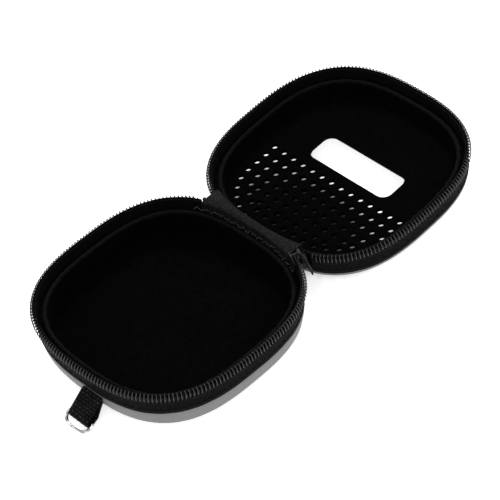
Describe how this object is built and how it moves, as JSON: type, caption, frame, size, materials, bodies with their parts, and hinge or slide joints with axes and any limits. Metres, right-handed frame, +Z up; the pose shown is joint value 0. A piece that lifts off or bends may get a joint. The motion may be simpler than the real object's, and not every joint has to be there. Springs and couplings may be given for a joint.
{
  "type": "headphone carrying case",
  "caption": "Hard-shell zip case for headphones, lying open: base cup, hinged lid with a vent field and window, zip, D-ring on a strap.",
  "frame": {"origin": "centre of the base cup's flat bottom, where the case stands", "axes": "+Z up out of the base cup, +X along the hinge, +Y from the base to the open lid"},
  "size_m": [0.0906, 0.1888, 0.0237],
  "materials": {
    "grey_skin": "smooth satin grey skin over moulded foam",
    "black_fleece": "matt brushed fleece",
    "foam": "closed-cell foam sheet",
    "zip_tape": "twill-woven tape",
    "hinge_cloth": "coated cloth",
    "ribbon": "ribbed woven ribbon",
    "piping": "rolled binding",
    "black_nylon": "nylon zip coil",
    "black_thread": "sewing thread",
    "black_metal": "black lacquered metal",
    "webbing": "coarse woven webbing",
    "chrome": "polished"
  },
  "bodies": {
    "base": {"base_hinge_cloth": "hinge_cloth", "base_hinge_ribbon": "ribbon", "base_lining": "black_fleece", "base_pad": "foam", "base_piping": "piping", "base_seam_thread": "black_thread", "base_shell": "grey_skin", "base_zip_coil": "black_nylon", "base_zip_stop": "black_metal", "base_zip_tape": "zip_tape", "strap_loop": "webbing"},
    "lid": {"lid_hinge_cloth": "hinge_cloth", "lid_hinge_ribbon": "ribbon", "lid_lining": "black_fleece", "lid_piping": "piping", "lid_seam_thread": "black_thread", "lid_shell": "grey_skin", "lid_zip_coil": "black_nylon", "lid_zip_stop": "black_metal", "lid_zip_tape": "zip_tape"},
    "slider": {"zip_slider": "black_metal"},
    "pull": {"zip_pull": "black_metal"},
    "ring": {"d_ring": "chrome"}
  },
  "joints": [
    {"name": "lid_hinge", "type": "hinge", "parent": "base", "child": "lid", "pos_m": [0, 0.0439, 0.0192], "axis": [1, 0, 0], "range_deg": [0, 176]},
    {"name": "slider_run", "type": "hinge", "parent": "base", "child": "slider", "pos_m": [0.01245, 0.01103, 0.0206], "axis": [0, 0, 1], "range_deg": [-11, 0]},
    {"name": "pull_swing", "type": "hinge", "parent": "slider", "child": "pull", "pos_m": [0.0262, 0.04281, 0.0206], "axis": [0, 0, 1], "range_deg": [0, 150]},
    {"name": "ring_swing", "type": "hinge", "parent": "base", "child": "ring", "pos_m": [0.0065, -0.0509, 0.0026], "axis": [1, 0, 0], "range_deg": [-100, 110]}
  ]
}
